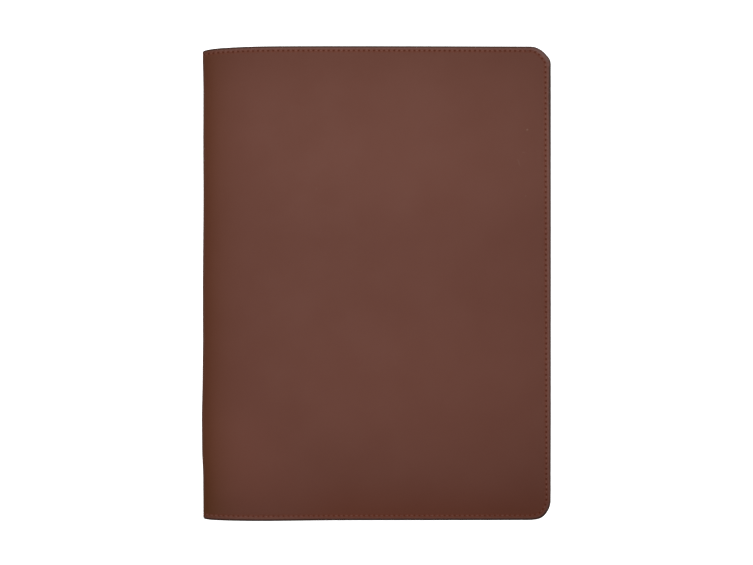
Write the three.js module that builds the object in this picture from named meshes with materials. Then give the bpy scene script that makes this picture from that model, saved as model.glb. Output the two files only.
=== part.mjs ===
// Leather document case for A4 papers, closed and lying on its back cover.
// One soft leather cover wraps the front, the spine and the back. A pocket panel lies against the inner
// face of each cover and is sewn to it along the head, the fore edge and the tail, so it opens towards
// the spine. The papers go in between the two panels.
// Millimetres. +Z is up, +Y runs from the tail to the head and +X from the spine to the fore edge.
// The origin is under the middle of the case, on the surface that it rests on.

import * as THREE from "three";

// Closed size of the case
const caseWidth = 236.5; // spine to fore edge, over the spine's furthest bulge
const caseHeight = 320; // tail to head
const caseThickness = 17; // at the crest of the front cover
const cornerRadius = 14; // of both covers, at the fore edge

// Leather
const coverLeather = 1.6;
const pocketLeather = 1.1;
const layerGap = 0.3; // between the cover and a pocket panel
const pocketWidth = 180; // fore edge to the pocket's open edge

// The roll of leather at the spine, from the crest of the front cover round to the flat of the back
const frontRollReach = 45; // spine to crest
const backRollReach = 26; // spine to where the back cover lies flat
const tightBendReach = 11; // how far the tight bend at the spine pulls the two covers round
const rollBow = 0.55; // the bend's fullness, as a share of half the thickness

// How the soft front cover hangs
const foreEdgeDrop = 1.6; // crest to fore edge
const tailDroop = 1.8; // extra fall along the tail
const tailDroopReach = 85;
const headDroop = 0.8; // extra fall along the head
const headDroopReach = 40;

// How the spine has settled
const spineBulge = 1.1; // the furthest that it stands out
const spineBulgeReach = 30; // over this much leather on each side of the bend
const headDip = 1.4; // how far the leather is drawn in at the head of the spine
const headDipReach = 52;

// The spine's waves. up: share of the height, from the tail. out: share of spineBulge.
const spineWaves = [
  { up: 0.0, out: 0.0 },
  { up: 0.09, out: 0.18 },
  { up: 0.15, out: 0.86 },
  { up: 0.21, out: 1.0 },
  { up: 0.31, out: 0.54 },
  { up: 0.38, out: 0.3 },
  { up: 0.48, out: 0.38 },
  { up: 0.69, out: 0.0 },
  { up: 0.8, out: 0.14 },
  { up: 0.91, out: 0.06 },
  { up: 1.0, out: 0.42 },
];

// Fineness of the faceted surfaces
const tailToHeadRows = 32;
const cornerColumns = 6;
const frontColumns = 9;
const frontRollColumns = 11;
const backRollColumns = 8;
const backColumns = 3;

const halfHeight = caseHeight / 2;
const halfThickness = caseThickness / 2;
const foreX = caseWidth / 2;
const spineX = spineBulge - foreX;

// The outer face's line across the case, seen from the tail: x across and z up, from the front cover's
// fore edge over the crest, round the spine and back to the back cover's fore edge.
function coverLine() {
  const frontFore = new THREE.Vector2(foreX, caseThickness - foreEdgeDrop);
  const crest = new THREE.Vector2(spineX + frontRollReach, caseThickness);
  const tip = new THREE.Vector2(spineX, halfThickness);
  const heel = new THREE.Vector2(spineX + backRollReach, 0);
  const backFore = new THREE.Vector2(foreX, 0);
  const third = (frontFore.x - crest.x) / 3;
  const bow = rollBow * halfThickness;
  const bendX = spineX + tightBendReach;

  const line = new THREE.CurvePath();
  line.add(
    new THREE.CubicBezierCurve(
      frontFore,
      new THREE.Vector2(frontFore.x - third, caseThickness - foreEdgeDrop / 3),
      new THREE.Vector2(crest.x + third, caseThickness),
      crest,
    ),
  );
  line.add(
    new THREE.CubicBezierCurve(
      crest,
      new THREE.Vector2(bendX, caseThickness),
      new THREE.Vector2(spineX, halfThickness + bow),
      tip,
    ),
  );
  line.add(
    new THREE.CubicBezierCurve(
      tip,
      new THREE.Vector2(spineX, halfThickness - bow),
      new THREE.Vector2(bendX, 0),
      heel,
    ),
  );
  line.add(new THREE.LineCurve(heel, backFore));
  return line;
}

const line = coverLine();
const girth = line.getLength();
const [crestAt, tipAt, heelAt] = line.getCurveLengths();

// The outer face's point and outward direction at a distance along the cover's line.
function stationAt(along) {
  const share = along / girth;
  const point = line.getPoint(share);
  const tangent = line.getTangent(share);
  return { along, point, outward: new THREE.Vector2(tangent.y, -tangent.x) };
}

// 1 at zero distance, easing out to 0 at the reach.
function fade(distance, reach) {
  const left = Math.max(0, 1 - distance / reach);
  return left * left;
}

// The waves' share of the bulge at a share of the height, eased from one row of the table to the next.
function waveAt(up) {
  const next = spineWaves.findIndex((row) => row.up >= up);
  if (next <= 0) return spineWaves[0].out;
  const from = spineWaves[next - 1];
  const to = spineWaves[next];
  const t = THREE.MathUtils.smoothstep(up, from.up, to.up);
  return THREE.MathUtils.lerp(from.out, to.out, t);
}

// Half the cover's height at a distance along its line, less where the corners are rounded.
function halfHeightAt(along) {
  const fromFore = Math.min(along, girth - along);
  if (fromFore >= cornerRadius) return halfHeight;
  const inward = cornerRadius - fromFore;
  return halfHeight - cornerRadius + Math.sqrt(cornerRadius ** 2 - inward ** 2);
}

// A point of the case: a station, a share of the height from the tail, and a depth below the outer face.
function casePoint(station, up, depth) {
  const fromTip = Math.abs(station.along - tipAt);
  const half = halfHeightAt(station.along);
  const head = half - headDip * fade(fromTip, headDipReach);
  const y = THREE.MathUtils.lerp(-half, head, up);

  const bulge = spineBulge * waveAt(up) * fade(fromTip, spineBulgeReach);
  const x = station.point.x - station.outward.x * depth - bulge;

  const raised = Math.max(0, station.point.y / halfThickness - 1);
  const droop =
    tailDroop * fade(halfHeight + y, tailDroopReach) +
    headDroop * fade(halfHeight - y, headDroopReach);
  const onFront = station.along < tipAt ? raised : 0;
  const z = station.point.y - station.outward.y * depth - droop * onFront;
  return new THREE.Vector3(x, y, z);
}

// Distances along the cover's line at which its faces are folded, from one end of a panel to the other.
function columns(from, to) {
  const found = [from, to];
  for (let i = 0; i < cornerColumns; i++) {
    const turn = (i / cornerColumns) * (Math.PI / 2);
    const inward = cornerRadius * (1 - Math.cos(turn));
    found.push(inward, girth - inward);
  }
  const stretches = [
    { start: cornerRadius, end: crestAt, count: frontColumns },
    { start: crestAt, end: tipAt, count: frontRollColumns },
    { start: tipAt, end: heelAt, count: backRollColumns },
    { start: heelAt, end: girth - cornerRadius, count: backColumns },
  ];
  for (const { start, end, count } of stretches)
    for (let i = 0; i <= count; i++) found.push(start + ((end - start) * i) / count);
  const closest = cornerRadius / 100;
  return found
    .filter((along) => along >= from && along <= to)
    .sort((a, b) => a - b)
    .filter((along, i, all) => i === 0 || along - all[i - 1] > closest);
}

// A closed sheet of leather: its outer and inner faces as grids, joined by a wall round the edge.
function leatherSheet(from, to, outerDepth, innerDepth) {
  const stations = columns(from, to).map(stationAt);
  const across = stations.length;
  const rows = tailToHeadRows + 1;
  const positions = [];
  for (const depth of [outerDepth, innerDepth])
    for (const station of stations)
      for (let row = 0; row < rows; row++)
        positions.push(...casePoint(station, row / tailToHeadRows, depth).toArray());

  const outer = (column, row) => column * rows + row;
  const inner = (column, row) => across * rows + outer(column, row);
  const faces = [];
  const quad = (a, b, c, d) => faces.push(a, b, c, a, c, d);
  for (let i = 0; i + 1 < across; i++)
    for (let j = 0; j + 1 < rows; j++) {
      quad(outer(i, j), outer(i, j + 1), outer(i + 1, j + 1), outer(i + 1, j));
      quad(inner(i, j), inner(i + 1, j), inner(i + 1, j + 1), inner(i, j + 1));
    }
  for (let i = 0; i + 1 < across; i++) {
    quad(outer(i, 0), outer(i + 1, 0), inner(i + 1, 0), inner(i, 0));
    quad(outer(i + 1, rows - 1), outer(i, rows - 1), inner(i, rows - 1), inner(i + 1, rows - 1));
  }
  for (let j = 0; j + 1 < rows; j++) {
    quad(outer(0, j + 1), outer(0, j), inner(0, j), inner(0, j + 1));
    const last = across - 1;
    quad(outer(last, j), outer(last, j + 1), inner(last, j + 1), inner(last, j));
  }

  const geometry = new THREE.BufferGeometry();
  geometry.setAttribute("position", new THREE.Float32BufferAttribute(positions, 3));
  geometry.setIndex(faces);
  geometry.computeVertexNormals();
  return geometry;
}

function piece(name, geometry, material) {
  const mesh = new THREE.Mesh(geometry, material);
  mesh.name = name;
  return mesh;
}

const coverFinish = new THREE.MeshStandardMaterial({
  color: 0x69443a,
  roughness: 0.55,
  metalness: 0,
});
const pocketFinish = new THREE.MeshStandardMaterial({
  color: 0x5f3c31,
  roughness: 0.6,
  metalness: 0,
});

const pocketOuterDepth = coverLeather + layerGap;
const pocketInnerDepth = pocketOuterDepth + pocketLeather;

const documentCase = new THREE.Group();
documentCase.add(
  piece("cover", leatherSheet(0, girth, 0, coverLeather), coverFinish),
  piece(
    "front_pocket",
    leatherSheet(0, pocketWidth, pocketOuterDepth, pocketInnerDepth),
    pocketFinish,
  ),
  piece(
    "back_pocket",
    leatherSheet(girth - pocketWidth, girth, pocketOuterDepth, pocketInnerDepth),
    pocketFinish,
  ),
);

export default documentCase;
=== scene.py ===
"""A brown leather document case for A4 papers, lying closed on its back cover.

The case is modelled as it is made. Each piece of leather is cut out flat, its edge is rounded and its
seam pressed in, the stitches are laid along the seam, and all of it is folded together round the spine.
Flat leather is measured in millimetres: along the girth from the front cover's fore edge round the spine
to the back cover's fore edge, up from the middle towards the head, and out from the grain face.
"""

import logging
import math
from collections.abc import Callable
from dataclasses import dataclass, field
from enum import Enum

import bmesh
import bpy
import numpy as np
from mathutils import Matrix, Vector


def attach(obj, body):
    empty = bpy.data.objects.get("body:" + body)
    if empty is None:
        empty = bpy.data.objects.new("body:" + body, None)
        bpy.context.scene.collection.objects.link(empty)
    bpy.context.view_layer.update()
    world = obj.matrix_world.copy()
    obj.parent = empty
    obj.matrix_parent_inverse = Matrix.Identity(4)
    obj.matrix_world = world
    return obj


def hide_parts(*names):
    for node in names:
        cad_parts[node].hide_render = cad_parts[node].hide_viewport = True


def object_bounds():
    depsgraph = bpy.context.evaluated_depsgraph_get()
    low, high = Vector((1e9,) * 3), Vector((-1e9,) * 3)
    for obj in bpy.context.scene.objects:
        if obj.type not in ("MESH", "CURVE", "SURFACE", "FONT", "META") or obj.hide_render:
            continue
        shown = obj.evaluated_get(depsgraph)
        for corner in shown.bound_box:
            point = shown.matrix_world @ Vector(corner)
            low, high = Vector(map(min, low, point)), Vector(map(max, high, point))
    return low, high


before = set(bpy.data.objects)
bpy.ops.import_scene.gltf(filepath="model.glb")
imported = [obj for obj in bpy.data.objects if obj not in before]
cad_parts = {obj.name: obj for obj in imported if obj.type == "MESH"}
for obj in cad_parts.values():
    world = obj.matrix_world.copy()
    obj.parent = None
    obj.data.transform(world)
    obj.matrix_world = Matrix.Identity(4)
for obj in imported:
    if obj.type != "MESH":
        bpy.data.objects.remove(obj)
cad_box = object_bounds()

log = logging.getLogger("document_case")

MILLIMETRE = 0.001
TOUCHING = 0.001  # millimetres within which two places are the same
PATTERN_MAP = "hide"

Colour = tuple[float, float, float, float]
Value = float | tuple[float, ...] | bpy.types.NodeSocket


class Mask(Enum):
    """The masks that a piece of leather carries on its points, for its finish to read."""

    EDGE_PAINT = "edge_paint"
    SEAM_PRESS = "seam_press"
    NEEDLE_HOLE = "needle_hole"
    # The bead's real burnish, with a painted sheen in its colour.
    RUBBED = "rubbed"
    # A painted highlight on the bead at the head corners.
    WORN = "worn"
    # Painted shade on the spine's roll.
    STRETCHED = "stretched"
    DRY = "dry"


class Facing(Enum):
    """Which way a piece's finished face looks: out of the case, or in towards the papers."""

    OUT = 1
    IN = -1


@dataclass(frozen=True)
class SpineWave:
    """How far the spine stands out at one height."""

    up: float
    out: float


@dataclass(frozen=True)
class Ripple:
    """One long, low wave of the soft front cover, in millimetres, with its heading in degrees."""

    length: float
    heading: float
    rise: float
    start: float


@dataclass(frozen=True)
class CaseSizes:
    """The closed case's real sizes in millimetres, as the solids have them."""

    width: float = 236.5
    height: float = 320.0
    thickness: float = 17.0
    corner_radius: float = 14.0
    cover_leather: float = 1.6
    pocket_leather: float = 1.36
    glue_line: float = 0.04
    pocket_width: float = 180.0
    front_roll_reach: float = 45.0
    back_roll_reach: float = 26.0
    tight_bend_reach: float = 11.0
    roll_bow: float = 0.55
    fore_edge_drop: float = 1.6
    tail_droop: float = 1.8
    tail_droop_reach: float = 85.0
    tail_roll: float = 1.0
    tail_roll_reach: float = 27.0
    tail_bow: float = 0.55
    tail_bow_from_tip: float = 40.0
    tail_bow_spread: float = 37.0
    tail_bow_reach: float = 90.0
    tail_tuck: float = 0.5
    tail_tuck_reach: float = 10.0
    head_droop: float = 0.8
    head_droop_reach: float = 40.0
    spine_bulge: float = 1.1
    spine_bulge_reach: float = 30.0
    head_dip: float = 1.4
    head_dip_reach: float = 52.0
    head_tuck: float = 0.6
    head_tuck_reach: float = 16.0
    head_bow: float = 0.33
    head_bow_from_tip: float = 12.0
    head_bow_spread: float = 34.0
    spine_waves: tuple[SpineWave, ...] = (
        SpineWave(up=0.0, out=0.0),
        SpineWave(up=0.09, out=0.18),
        SpineWave(up=0.15, out=0.86),
        SpineWave(up=0.21, out=1.0),
        SpineWave(up=0.31, out=0.54),
        SpineWave(up=0.38, out=0.3),
        SpineWave(up=0.48, out=0.38),
        SpineWave(up=0.69, out=0.0),
        SpineWave(up=0.8, out=0.14),
        SpineWave(up=0.91, out=0.06),
        SpineWave(up=1.0, out=0.42),
    )
    ripples: tuple[Ripple, ...] = (
        Ripple(length=170.0, heading=25.0, rise=0.1, start=40.0),
        Ripple(length=96.0, heading=110.0, rise=0.05, start=10.0),
        Ripple(length=61.0, heading=68.0, rise=0.025, start=25.0),
    )


def fade(distance: np.ndarray, reach: float) -> np.ndarray:
    """Eases from 1 at no distance to 0 at the reach.

    Args:
        distance: Distances from where the effect is full.
        reach: The distance at which it ends.

    Returns:
        The effect's share at each distance.
    """
    return np.maximum(0.0, 1.0 - distance / reach) ** 2


def ease(value: np.ndarray, low: float, high: float) -> np.ndarray:
    """A smooth step from 0 at low to 1 at high."""
    share = np.clip((value - low) / (high - low), 0.0, 1.0)
    return share * share * (3.0 - 2.0 * share)


def bump(value: np.ndarray, middle: float, spread: float) -> np.ndarray:
    """A round hump of height 1 at the middle."""
    return np.exp(-(((value - middle) / spread) ** 2))


class Fold:
    """Folds flat leather into the closed case."""

    SAMPLES = 600

    def __init__(self, sizes: CaseSizes) -> None:
        """Draws the line across the case that the outer face follows.

        Args:
            sizes: The case's sizes.
        """
        self.sizes = sizes
        half = sizes.thickness / 2
        fore_x = sizes.width / 2
        spine_x = sizes.spine_bulge - fore_x
        crest_x = spine_x + sizes.front_roll_reach
        third = (fore_x - crest_x) / 3
        bend_x = spine_x + sizes.tight_bend_reach
        bow = sizes.roll_bow * half
        top = sizes.thickness
        drop = sizes.fore_edge_drop
        front = [
            (fore_x, top - drop),
            (fore_x - third, top - drop / 3),
            (crest_x + third, top),
            (crest_x, top),
        ]
        upper = [(crest_x, top), (bend_x, top), (spine_x, half + bow), (spine_x, half)]
        heel_x = spine_x + sizes.back_roll_reach
        lower = [(spine_x, half), (spine_x, half - bow), (bend_x, 0.0), (heel_x, 0.0)]
        flat_step = (fore_x - heel_x) / 3
        back = [(heel_x + flat_step * step, 0.0) for step in range(4)]
        curves = [self._curve(corners) for corners in (front, upper, lower, back)]
        points = np.vstack([curves[0], *(curve[1:] for curve in curves[1:])])
        steps = np.linalg.norm(np.diff(points, axis=0), axis=1)
        self.along = np.concatenate([[0.0], np.cumsum(steps)])
        self.points = points
        tangents = np.gradient(points, self.along, axis=0)
        tangents /= np.linalg.norm(tangents, axis=1)[:, None]
        self.outward = np.column_stack([tangents[:, 1], -tangents[:, 0]])
        self.girth = float(self.along[-1])
        self.tip = float(self.along[2 * (self.SAMPLES - 1)])

    def _curve(self, corners: list[tuple[float, float]]) -> np.ndarray:
        """Points along a cubic curve."""
        t = np.linspace(0.0, 1.0, self.SAMPLES)[:, None]
        a, b, c, d = (np.array(corner) for corner in corners)
        return (1 - t) ** 3 * a + 3 * (1 - t) ** 2 * t * b + 3 * (1 - t) * t**2 * c + t**3 * d

    def _waves(self, up: np.ndarray) -> np.ndarray:
        """The spine's waves at shares of the height, as shares of its bulge."""
        out = np.zeros_like(up)
        waves = self.sizes.spine_waves
        for low, high in zip(waves, waves[1:]):
            inside = (up >= low.up) & (up <= high.up)
            out[inside] = low.out + (high.out - low.out) * ease(up[inside], low.up, high.up)
        return out

    def _ripples(self, u: np.ndarray, v: np.ndarray) -> np.ndarray:
        """The front cover's low waves."""
        total = np.zeros_like(u)
        for ripple in self.sizes.ripples:
            heading = math.radians(ripple.heading)
            reach = u * math.cos(heading) + v * math.sin(heading) + ripple.start
            total += ripple.rise * np.sin(2 * math.pi * reach / ripple.length)
        return total

    def place(self, flat: np.ndarray) -> np.ndarray:
        """Folds points of flat leather.

        Args:
            flat: A row for each point: along the girth, up, and out of the outer face.

        Returns:
            The points in the closed case, in metres.
        """
        sizes = self.sizes
        u, v, out = flat.T
        x, z = (np.interp(u, self.along, self.points[:, axis]) for axis in (0, 1))
        out_x, out_z = (np.interp(u, self.along, self.outward[:, axis]) for axis in (0, 1))
        half = sizes.height / 2
        up = np.clip((v + half) / sizes.height, 0.0, 1.0)
        from_tip = np.abs(u - self.tip)
        drawn_in = sizes.head_dip * fade(from_tip, sizes.head_dip_reach)
        drawn_in += sizes.head_tuck * fade(from_tip, sizes.head_tuck_reach)
        drawn_in += sizes.head_bow * bump(from_tip, sizes.head_bow_from_tip, sizes.head_bow_spread)
        bow = sizes.tail_bow * bump(from_tip, sizes.tail_bow_from_tip, sizes.tail_bow_spread)
        bow -= sizes.tail_tuck * fade(from_tip, sizes.tail_tuck_reach)
        y = v - drawn_in * up - bow * fade(half + v, sizes.tail_bow_reach)
        bulge = sizes.spine_bulge * self._waves(up) * fade(from_tip, sizes.spine_bulge_reach)
        raised = np.where(u < self.tip, np.maximum(0.0, 2 * z / sizes.thickness - 1), 0.0)
        droop = sizes.tail_droop * fade(half + y, sizes.tail_droop_reach)
        droop += sizes.tail_roll * fade(half + y, sizes.tail_roll_reach)
        droop += sizes.head_droop * fade(half - y, sizes.head_droop_reach)
        placed_x = x + out_x * out - bulge
        placed_z = z + out_z * out - droop * raised + self._ripples(u, v) * raised
        return np.column_stack([placed_x, y, placed_z]) * MILLIMETRE


@dataclass(frozen=True)
class CornerSwell:
    """Where a rounded corner is cut fuller: a part of its turn from the fore edge to the head or tail."""

    at_head: bool
    start: float
    end: float
    out: float


@dataclass(frozen=True)
class SeamSizes:
    """The seam's sizes in millimetres. Each side's inset is its own, as the maker's hand left it."""

    stitches_across: int = 132
    stitches_up: int = 83
    stitches_round_corner: int = 5
    mean_inset: float = 3.2
    head_inset: float = 3.12
    tail_inset: float = 3.45
    fore_inset_at_head: float = 3.9
    fore_inset_at_tail: float = 3.1
    corner_inset: float = 0.35
    fuller_corner_at_tail: float = 0.5
    flatter_corner_at_head: float = 0.25
    corner_swells: tuple[CornerSwell, ...] = (
        CornerSwell(at_head=True, start=0.0, end=0.4, out=0.4),
        CornerSwell(at_head=False, start=0.45, end=0.85, out=0.3),
    )
    fore_flare: float = 0.25
    fore_flare_from_tail: float = 18.0
    fore_flare_spread: float = 8.0
    fore_flare_by: float = 0.5
    flatness_of_head_corner: float = 0.7
    corner_reach: float = 14.0
    drift_reach: float = 8.0
    groove_depth: float = 0.04
    groove_spread: float = 0.8
    bead_rise: float = 0.13
    bead_middle: float = 1.8
    bead_spread: float = 0.62
    press_spread: float = 0.9
    # Where the bead's burnish and its painted sheen lie, and how wide they spread.
    burnish_and_sheen_middle: float = 1.55
    burnish_and_sheen_spread: float = 0.75
    # Where the painted highlight on the bead at the head corners lies, and how wide it spreads.
    corner_highlight_middle: float = 1.2
    corner_highlight_spread: float = 1.0
    shoulder_rise: float = 0.07
    shoulder_middle: float = 4.6
    shoulder_spread: float = 0.9
    hole_depth: float = 0.34
    hole_spread_along: float = 0.74
    hole_spread_across: float = 0.66
    fainter_at_tail: float = 0.4
    pucker: float = 0.05
    arris_width: float = 0.8
    arris_depth: float = 0.6
    paint_rim: tuple[float, float] = (0.8, 1.25)
    wider_at_tail: float = 0.5
    wider_at_tail_by: float = 0.35
    wider_at_head: float = 0.14
    wider_at_head_from: float = 0.65
    wider_below_head: float = 0.7
    wider_below_head_from: float = 36.0
    wider_below_head_spread: float = 24.0
    narrower_at_head_corner: float = 0.3
    # Painted shade round the spine: its share at the head, how far from the tail it grows, and how wide it
    # spreads.
    spine_shade_at_head: float = 0.52
    spine_shade_reach: float = 110.0
    spine_shade_spread: float = 17.0
    dry_reach: float = 36.0
    dry_ends: tuple[float, float] = (135.0, 190.0)


@dataclass
class Seam:
    """The line of stitches round the leather, and the shape that it presses into the leather."""

    fold: Fold
    sizes: SeamSizes = field(default_factory=SeamSizes)

    def __post_init__(self) -> None:
        """Works out the straight sides between the corners."""
        case = self.fold.sizes
        self.half_girth = self.fold.girth / 2
        self.half_height = case.height / 2
        self.radius = case.corner_radius
        self.pitch_across = (self.fold.girth - 2 * self.radius) / self.sizes.stitches_across
        self.pitch_up = (case.height - 2 * self.radius) / self.sizes.stitches_up
        path_radius = self.radius - self.sizes.mean_inset
        self.pitch_round = path_radius * math.pi / 2 / self.sizes.stitches_round_corner

    def edge_distance(self, u: np.ndarray, v: np.ndarray) -> tuple[np.ndarray, np.ndarray]:
        """How far flat points lie inside the leather's edge.

        Args:
            u: Places along the girth.
            v: Places up from the middle.

        Returns:
            The distances, and how far each point is turned from the fore edge, 0, to the head or tail, 1.
        """
        across = np.abs(u - self.half_girth) - (self.half_girth - self.radius)
        up = np.abs(v) - (self.half_height - self.radius)
        outside = np.hypot(np.maximum(across, 0.0), np.maximum(up, 0.0))
        distance = self.radius - outside - np.minimum(np.maximum(across, up), 0.0)
        in_corner = (across > 0.0) & (up > 0.0)
        corner_turn = np.arctan2(up, across) / (math.pi / 2)
        side_turn = np.where(across > up, 0.0, 1.0)
        return distance, np.where(in_corner, corner_turn, side_turn)

    def from_hole(self, u: np.ndarray, v: np.ndarray, turn: np.ndarray) -> np.ndarray:
        """How far flat points lie from the nearest needle hole, along the seam."""
        across = (u - self.radius) / self.pitch_across
        up = (v + self.half_height - self.radius) / self.pitch_up
        sides = [turn <= 0.0, turn >= 1.0]
        count = np.select(sides, [up, across], turn * self.sizes.stitches_round_corner)
        pitch = np.select(sides, [self.pitch_up, self.pitch_across], self.pitch_round)
        return np.abs(count - np.round(count)) * pitch

    def drift(self, flat: np.ndarray) -> np.ndarray:
        """Moves flat points sideways with the seam, which runs nearer the edge in some places.

        Args:
            flat: A row for each point.

        Returns:
            The moved points.
        """
        sizes = self.sizes
        u, v = flat[:, 0], flat[:, 1]
        distance, turn = self.edge_distance(u, v)
        up = (v + self.half_height) / (2 * self.half_height)
        fore = sizes.fore_inset_at_tail + (sizes.fore_inset_at_head - sizes.fore_inset_at_tail) * up
        end = np.where(v > 0.0, sizes.head_inset, sizes.tail_inset)
        inset = fore + (end - fore) * ease(turn, 0.0, 1.0) + sizes.corner_inset * np.sin(math.pi * turn)
        rising = distance / sizes.mean_inset
        falling = (sizes.drift_reach - distance) / (sizes.drift_reach - sizes.mean_inset)
        share = np.clip(np.minimum(rising, falling), 0.0, 1.0)
        shift = (inset - sizes.mean_inset) * share
        shift += self._cut_in(v, turn) * np.clip(1.0 - distance / sizes.corner_reach, 0.0, 1.0)
        angle = turn * math.pi / 2
        moved = flat.copy()
        moved[:, 0] -= np.sign(u - self.half_girth) * np.cos(angle) * shift
        moved[:, 1] -= np.sign(v) * np.sin(angle) * shift
        return moved

    def _cut_in(self, v: np.ndarray, turn: np.ndarray) -> np.ndarray:
        """How far the leather's edge is cut in, where a corner is fuller or flatter than a round one.

        Args:
            v: Places up from the middle.
            turn: How far each point is turned from the fore edge, 0, to the head or tail, 1.

        Returns:
            The distances, which are negative where the corner is fuller.
        """
        sizes = self.sizes
        cut_in = np.where(v > 0.0, sizes.flatter_corner_at_head, -sizes.fuller_corner_at_tail)
        cut_in = cut_in * np.sin(math.pi * turn) ** 2
        for swell in sizes.corner_swells:
            share = np.clip((turn - swell.start) / (swell.end - swell.start), 0.0, 1.0)
            cut_in -= np.where((v > 0.0) == swell.at_head, swell.out * np.sin(math.pi * share), 0.0)
        flare = bump(self.half_height + v, sizes.fore_flare_from_tail, sizes.fore_flare_spread)
        return cut_in - sizes.fore_flare * flare * (1.0 - ease(turn, 0.0, sizes.fore_flare_by))

    def arris_width(self, v: np.ndarray, turn: np.ndarray) -> np.ndarray:
        """How wide the rounded edge is, which the maker's sanding left uneven."""
        sizes = self.sizes
        at_tail = np.where(v < 0.0, ease(turn, 0.0, sizes.wider_at_tail_by), 0.0)
        at_head = np.where(v > 0.0, ease(turn, sizes.wider_at_head_from, 1.0), 0.0)
        below_head = bump(self.half_height - v, sizes.wider_below_head_from, sizes.wider_below_head_spread)
        wider = sizes.wider_at_tail * at_tail + sizes.wider_below_head * below_head * (turn <= 0.0)
        wider += sizes.wider_at_head * at_head - sizes.narrower_at_head_corner * self.head_corner(v, turn)
        return sizes.arris_width * (1.0 + wider)

    def head_corner(self, v: np.ndarray, turn: np.ndarray) -> np.ndarray:
        """How far each point is round a rounded corner at the head: 1 in its middle and 0 at its ends."""
        round_corner = np.sin(math.pi * turn) ** self.sizes.flatness_of_head_corner
        return np.where(v > 0.0, round_corner, 0.0)

    def arris(self, distance: np.ndarray, width: np.ndarray) -> np.ndarray:
        """How far the rounded edge of the leather falls away, as a height of 0 or less."""
        share = np.clip(1.0 - distance / width, 0.0, 1.0)
        return -self.sizes.arris_depth * (1.0 - np.sqrt(1.0 - share**2))

    def pressed(self, distance: np.ndarray) -> np.ndarray:
        """The height of the bead, groove and shoulder that the seam presses into the leather."""
        sizes = self.sizes
        groove = sizes.groove_depth * bump(distance, sizes.mean_inset, sizes.groove_spread)
        bead = sizes.bead_rise * bump(distance, sizes.bead_middle, sizes.bead_spread)
        shoulder = sizes.shoulder_rise * bump(distance, sizes.shoulder_middle, sizes.shoulder_spread)
        return bead + shoulder - groove

    def hole(self, distance: np.ndarray, along: np.ndarray) -> np.ndarray:
        """How much of a needle hole is at each point, from 0 to 1."""
        sizes = self.sizes
        beside = bump(distance, sizes.mean_inset, sizes.hole_spread_across)
        return bump(along, 0.0, sizes.hole_spread_along) * beside

    def path(self, count: np.ndarray) -> tuple[np.ndarray, np.ndarray]:
        """Points along the seam, before it drifts.

        Args:
            count: Places on the seam as numbers of stitches from its start, at the head of the front cover.

        Returns:
            The flat points, and the directions from them into the leather.
        """
        sizes = self.sizes
        inset = sizes.mean_inset
        girth = 2 * self.half_girth
        far, side = girth - self.radius, self.half_height - self.radius
        rise = self.half_height - inset
        corner = sizes.stitches_round_corner
        straights = [
            (sizes.stitches_across, (self.radius, rise), (far, rise), (0.0, -1.0)),
            (sizes.stitches_up, (girth - inset, side), (girth - inset, -side), (-1.0, 0.0)),
            (sizes.stitches_across, (far, -rise), (self.radius, -rise), (0.0, 1.0)),
            (sizes.stitches_up, (inset, -side), (inset, side), (1.0, 0.0)),
        ]
        centres = [(far, side), (far, -side), (self.radius, -side), (self.radius, side)]
        points = np.zeros((len(count), 2))
        inward = np.zeros((len(count), 2))
        count = np.mod(count, self.total)
        start = 0
        for index, (stitches, low, high, direction) in enumerate(straights):
            here = (count >= start) & (count < start + stitches)
            share = ((count[here] - start) / stitches)[:, None]
            points[here] = np.array(low) + (np.array(high) - np.array(low)) * share
            inward[here] = direction
            start += stitches
            here = (count >= start) & (count < start + corner)
            angle = math.pi / 2 * (1 - index - (count[here] - start) / corner)
            radial = np.column_stack([np.cos(angle), np.sin(angle)])
            points[here] = np.array(centres[index]) + radial * (self.radius - inset)
            inward[here] = -radial
            start += corner
        return points, inward

    @property
    def total(self) -> int:
        """The number of stitches all round."""
        sizes = self.sizes
        return 2 * (sizes.stitches_across + sizes.stitches_up) + 4 * sizes.stitches_round_corner


def select(piece: bpy.types.Object, kind: str, wanted: Callable[[object], bool]) -> None:
    """Selects parts of the piece in edit mode and nothing else.

    Args:
        piece: The object that is being edited.
        kind: VERT, EDGE or FACE.
        wanted: Says of each vertex, edge or face whether it is selected.
    """
    bpy.ops.mesh.select_mode(type=kind)
    bpy.ops.mesh.select_all(action="DESELECT")
    mesh = bmesh.from_edit_mesh(piece.data)
    parts = {"VERT": mesh.verts, "EDGE": mesh.edges, "FACE": mesh.faces}[kind]
    for part in parts:
        if wanted(part):
            part.select_set(True)
    mesh.select_flush_mode()
    bmesh.update_edit_mesh(piece.data)


def divide_selected_edges(parts: int) -> None:
    """Divides each selected edge into equal parts, one prime factor at a time."""
    factor = 2
    while parts > 1:
        while parts % factor == 0:
            bpy.ops.mesh.subdivide(number_cuts=factor - 1)
            parts //= factor
        factor += 1


def face_outwards(piece: bpy.types.Object) -> None:
    """Turns all the faces of a piece outwards, and leaves the piece active and selected."""
    bpy.ops.object.select_all(action="DESELECT")
    bpy.context.view_layer.objects.active = piece
    piece.select_set(True)
    bpy.ops.object.mode_set(mode="EDIT")
    bpy.ops.mesh.select_all(action="SELECT")
    bpy.ops.mesh.normals_make_consistent(inside=False)
    bpy.ops.object.mode_set(mode="OBJECT")


def lay_pattern_map(mesh: bpy.types.Mesh, places: np.ndarray) -> None:
    """Gives a mesh the map that its pattern follows.

    Args:
        mesh: The finished piece's mesh.
        places: A row for each of its points: that point's place on the map.
    """
    while mesh.uv_layers:
        mesh.uv_layers.remove(mesh.uv_layers[0])
    layer = mesh.uv_layers.new(name=PATTERN_MAP)
    corners = np.zeros(len(mesh.loops), np.int32)
    mesh.loops.foreach_get("vertex_index", corners)
    layer.uv.foreach_set("vector", places[corners].astype(np.float32).ravel())


@dataclass(frozen=True)
class WallStep:
    """One step down the cut edge: how far down, as a share of the leather, and how far in."""

    down: float
    inset: float = 0.0


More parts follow.
